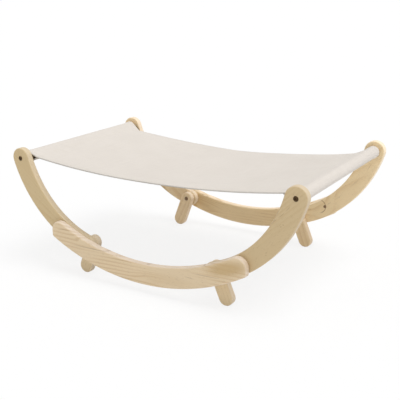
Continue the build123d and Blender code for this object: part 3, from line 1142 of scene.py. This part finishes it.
    def along_at(self, x: float, under: bool) -> float:
        """Distance along the cloth where it first, or in its last layer, passes a place on the right.

        Args:
            x: The place along X.
            under: True for the layer that comes back under the rod.

        Returns:
            The distance from the cloth's left end.
        """
        right = self.middle_line[:, 0]
        middle = len(right) // 2
        outer = middle + int(np.argmax(right[middle:]))
        if under:
            index = outer + int(np.argmax(right[outer:] <= x))
        else:
            index = middle + int(np.argmax(right[middle:] >= x))
        return float(self.line_length[index])

    def make_hem_stitches(self) -> Piece:
        """Sews one row along each hem, with a stitch above and one below."""
        place = self.half_width - self.hem_width + 2 * MM
        lifts = (self.cloth / 2, -self.cloth / 2 - self.hem_extra)
        start, pitch = self.seam_allowance, self.stitch_pitch
        along = np.arange(start, self.total - start - pitch, pitch)
        reach = (self.stitch_length, 0.0)
        rows = [self.row(along, sign * place, lift, reach) for sign in (-1, 1) for lift in lifts]
        return stitches("hem_stitches", rows, self.stitch_radius)

    def make_seam_stitches(self) -> Piece:
        """Sews one row across the cloth beside each rod: seen above the band and under the allowance."""
        rows = []
        margin = self.half_width - 2 * self.overlock_bite
        y = np.arange(-margin, margin - self.stitch_pitch, self.stitch_pitch)
        for under in (False, True):
            along = self.along_at(self.seam_x - self.seam_allowance / 2, under)
            for place in (along, self.total - along):
                rows.append(self.row(place, y, self.cloth / 2, (0.0, self.stitch_length)))
        return stitches("seam_stitches", rows, self.stitch_radius)

    def build(self) -> None:
        sheet = self.make_sheet()
        threads = [self.make_overlock(depth) for depth in Depth]
        sewing = [self.make_hem_stitches(), self.make_seam_stitches()]
        sheet.data.materials.append(CanvasFinish().build())
        grey = ThreadFinish("grey_thread", paint(196, 193, 186), paint(158, 155, 148)).build()
        cream = ThreadFinish("cream_thread", paint(236, 229, 216), paint(206, 198, 184)).build()
        for thread in threads:
            thread.data.materials.append(grey)
        for sewn in sewing:
            sewn.data.materials.append(cream)
        for piece in (sheet, *threads, *sewing):
            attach(piece, ROOT)
            log.info("sheet: %s has %d faces", piece.name, len(piece.data.polygons))
        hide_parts("hammock_sheet")


def cap_ends(piece: Piece, rows: int, columns: int) -> None:
    """Closes both ends of a tube of rows by columns points with one face each.

    Args:
        piece: The tube's piece.
        rows: Rings of points.
        columns: Points in a ring.
    """
    shape = bmesh.new()
    shape.from_mesh(piece.data)
    shape.verts.ensure_lookup_table()
    for ring, order in ((0, -1), (rows - 1, 1)):
        corners = [shape.verts[ring * columns + column] for column in range(columns)][::order]
        shape.faces.new(corners)
    bmesh.ops.recalc_face_normals(shape, faces=shape.faces)
    shape.to_mesh(piece.data)
    shape.free()


def thread_tube(name: str, line: np.ndarray, radius: float, sides: int) -> Piece:
    """Carries a small circle along a line of points.

    The circle's first axis is the way in which the line bends, made square to the line's direction. The
    second one is the direction crossed with the first.

    Args:
        name: The piece's name.
        line: The points that the thread follows.
        radius: The thread's radius.
        sides: Corners of the circle.

    Returns:
        The thread's piece, closed at both ends.
    """
    direction = np.gradient(line, axis=0)
    direction /= np.linalg.norm(direction, axis=1, keepdims=True)
    near = np.gradient(direction, axis=0) + 1e-9
    first = near - (near * direction).sum(1, keepdims=True) * direction
    first /= np.linalg.norm(first, axis=1, keepdims=True)
    second = np.cross(direction, first)
    turn = np.linspace(0, FULL_TURN, sides, endpoint=False)
    ring = first[:, None] * np.cos(turn)[None, :, None] + second[:, None] * np.sin(turn)[None, :, None]
    corners = line[:, None] + radius * ring
    faces = tube_faces(len(line), sides)
    steps = np.concatenate([[0.0], np.cumsum(np.linalg.norm(np.diff(line, axis=0), axis=1))])
    piece = mesh_piece(name, corners, faces, tube_uv(faces, sides, steps, np.arange(sides + 1) / sides))
    cap_ends(piece, len(line), sides)
    return piece


def stitches(name: str, rows: list[tuple[np.ndarray, np.ndarray]], radius: float) -> Piece:
    """Makes many small stitches as one piece.

    A stitch is a spindle: its radius is the square root of the sine of its share of the length.

    Args:
        name: The piece's name.
        rows: The start points and end points of each row's stitches.
        radius: A stitch's largest radius.

    Returns:
        The piece.
    """
    first = np.concatenate([row[0] for row in rows])
    last = np.concatenate([row[1] for row in rows])
    direction = last - first
    length = np.linalg.norm(direction, axis=1, keepdims=True)
    direction = direction / length
    helper = np.where(np.abs(direction[:, 1:2]) > 0.7, [[1.0, 0.0, 0.0]], [[0.0, 1.0, 0.0]])
    across = np.cross(direction, helper)
    across /= np.linalg.norm(across, axis=1, keepdims=True)
    third = np.cross(direction, across)
    share = np.array(STITCH_RINGS)
    swell = radius * np.sqrt(np.sin(math.pi * np.clip(share, 0.01, 0.99)))
    turn = np.linspace(0, FULL_TURN, STITCH_SIDES, endpoint=False)
    ring = across[:, None] * np.cos(turn)[None, :, None] + third[:, None] * np.sin(turn)[None, :, None]
    spine = first[:, None] + (direction * length)[:, None] * share[None, :, None]
    corners = spine[:, :, None] + ring[:, None] * swell[None, :, None, None]
    one = tube_faces(len(share), STITCH_SIDES)
    size = len(share) * STITCH_SIDES
    faces = (one[None] + size * np.arange(len(first))[:, None, None]).reshape(-1, 4)
    uv = tube_uv(one, STITCH_SIDES, share, np.arange(STITCH_SIDES + 1) / STITCH_SIDES)
    scale = np.stack([length[:, 0], np.ones(len(first))], axis=1)
    piece = mesh_piece(name, corners, faces, uv[None] * scale[:, None, None, :])
    close_open_rings(piece)
    return piece


def close_open_rings(piece: Piece) -> None:
    """Fills the small open ends of a piece and turns its faces outwards."""
    shape = bmesh.new()
    shape.from_mesh(piece.data)
    edges = [edge for edge in shape.edges if edge.is_boundary]
    bmesh.ops.holes_fill(shape, edges=edges, sides=8)
    bmesh.ops.recalc_face_normals(shape, faces=shape.faces)
    shape.to_mesh(piece.data)
    shape.free()


@dataclass
class Studio:
    """The pale floor, the white surroundings and the soft lamp."""

    floor_size: float = 80.0
    floor_colour: Colour = paint(243, 243, 243)
    white_share: float = 0.82
    sky_strength: float = 0.62
    key_strength: float = 1.74
    key_direction: Point = (0.38, 0.05, 0.92)
    key_width_degrees: float = 38.0

    def build(self) -> None:
        """Makes the floor, the surroundings and the lamp."""
        self.make_floor()
        self.make_surroundings()
        self.make_key()
        log.info("studio: floor, surroundings and key lamp made")

    def seen_white(self, tree: bpy.types.NodeTree) -> Socket:
        """Gives 1 for rays from the camera, and for reflected and refracted ones.

        Args:
            tree: The nodes of the floor or the surroundings.

        Returns:
            The socket.
        """
        path = tree.nodes.new("ShaderNodeLightPath")
        total = path.outputs["Is Camera Ray"]
        for name in ("Is Glossy Ray", "Is Transmission Ray"):
            join = tree.nodes.new("ShaderNodeMath")
            join.operation = "MAXIMUM"
            tree.links.new(total, join.inputs[0])
            tree.links.new(path.outputs[name], join.inputs[1])
            total = join.outputs[0]
        return total

    def make_floor(self) -> None:
        """Makes a large matt floor that reads as white and keeps the object's shadow."""
        half = self.floor_size / 2
        corners = np.array([[-half, -half, 0], [half, -half, 0], [half, half, 0], [-half, half, 0]])
        floor = mesh_piece("floor", corners, np.array([[0, 1, 2, 3]]))
        shader = Shader("pale_floor")
        shader.finish(Base_Color=self.floor_colour, Roughness=0.9, Specular_IOR_Level=0.0)
        glow = shader.add("ShaderNodeEmission", {"Color": WHITE, "Strength": 1.0})
        share = shader.math("MULTIPLY", self.seen_white(shader.tree), self.white_share)
        mixed = shader.add("ShaderNodeMixShader", {0: share, 1: shader.main.outputs[0], 2: glow.outputs[0]})
        shader.feed(shader.output.inputs["Surface"], mixed.outputs[0])
        floor.data.materials.append(shader.material)

    def make_surroundings(self) -> None:
        """Makes surroundings that are white to look at and softer as a light."""
        world = bpy.data.worlds.new("soft_surroundings")
        world.use_nodes = True
        bpy.context.scene.world = world
        tree = world.node_tree
        tree.nodes.clear()
        light = tree.nodes.new("ShaderNodeBackground")
        light.inputs["Strength"].default_value = self.sky_strength
        seen = tree.nodes.new("ShaderNodeBackground")
        mix = tree.nodes.new("ShaderNodeMixShader")
        output = tree.nodes.new("ShaderNodeOutputWorld")
        for background in (light, seen):
            background.inputs["Color"].default_value = WHITE
        tree.links.new(self.seen_white(tree), mix.inputs[0])
        tree.links.new(light.outputs[0], mix.inputs[1])
        tree.links.new(seen.outputs[0], mix.inputs[2])
        tree.links.new(mix.outputs[0], output.inputs["Surface"])

    def make_key(self) -> None:
        """Hangs one wide soft lamp above and to the right."""
        lamp = bpy.data.lights.new("key_lamp", "SUN")
        lamp.energy = self.key_strength
        lamp.angle = math.radians(self.key_width_degrees)
        holder = bpy.data.objects.new("key_lamp", lamp)
        holder.rotation_mode = "QUATERNION"
        holder.rotation_quaternion = Vector(self.key_direction).to_track_quat("Z", "Y")
        bpy.context.scene.collection.objects.link(holder)


@dataclass
class PhotoCamera:
    """The camera at the photograph's place: its turn round the object, height angle, tilt and reach."""

    azimuth_degrees: float = 32.35
    elevation_degrees: float = 16.88
    roll_degrees: float = -1.33
    target: Point = (-0.0599, 0.0965, 0.0997)
    distance: float = 1.6962
    lens: float = 65.45
    sensor: float = 36.0

    def build(self) -> None:
        """Makes the camera and makes it the scene's own."""
        azimuth, elevation = math.radians(self.azimuth_degrees), math.radians(self.elevation_degrees)
        level = math.cos(elevation)
        back = Vector((math.sin(azimuth) * level, -math.cos(azimuth) * level, math.sin(elevation)))
        side = Vector((math.cos(azimuth), math.sin(azimuth), 0))
        top = back.cross(side)
        roll = math.radians(self.roll_degrees)
        right = side * math.cos(roll) + top * math.sin(roll)
        up = top * math.cos(roll) - side * math.sin(roll)
        place = Matrix((right, up, back)).transposed().to_4x4()
        place.translation = Vector(self.target) + back * self.distance
        data = bpy.data.cameras.new("photo_camera")
        data.sensor_width = self.sensor
        data.lens = self.lens
        camera = bpy.data.objects.new("photo_camera", data)
        camera.matrix_world = place
        bpy.context.scene.collection.objects.link(camera)
        bpy.context.scene.camera = camera
        log.info("camera: %.2f m away", self.distance)


def main() -> None:
    """Builds the camera, the dressed frame, the sheet and the studio, in that order."""
    logging.basicConfig(level=logging.INFO, format="%(name)s: %(message)s")
    PhotoCamera().build()
    WoodFrame().build()
    Fasteners().build()
    HammockSheet().build()
    Studio().build()
    bpy.context.scene.view_settings.view_transform = "Standard"


if __name__ == "__main__":
    main()
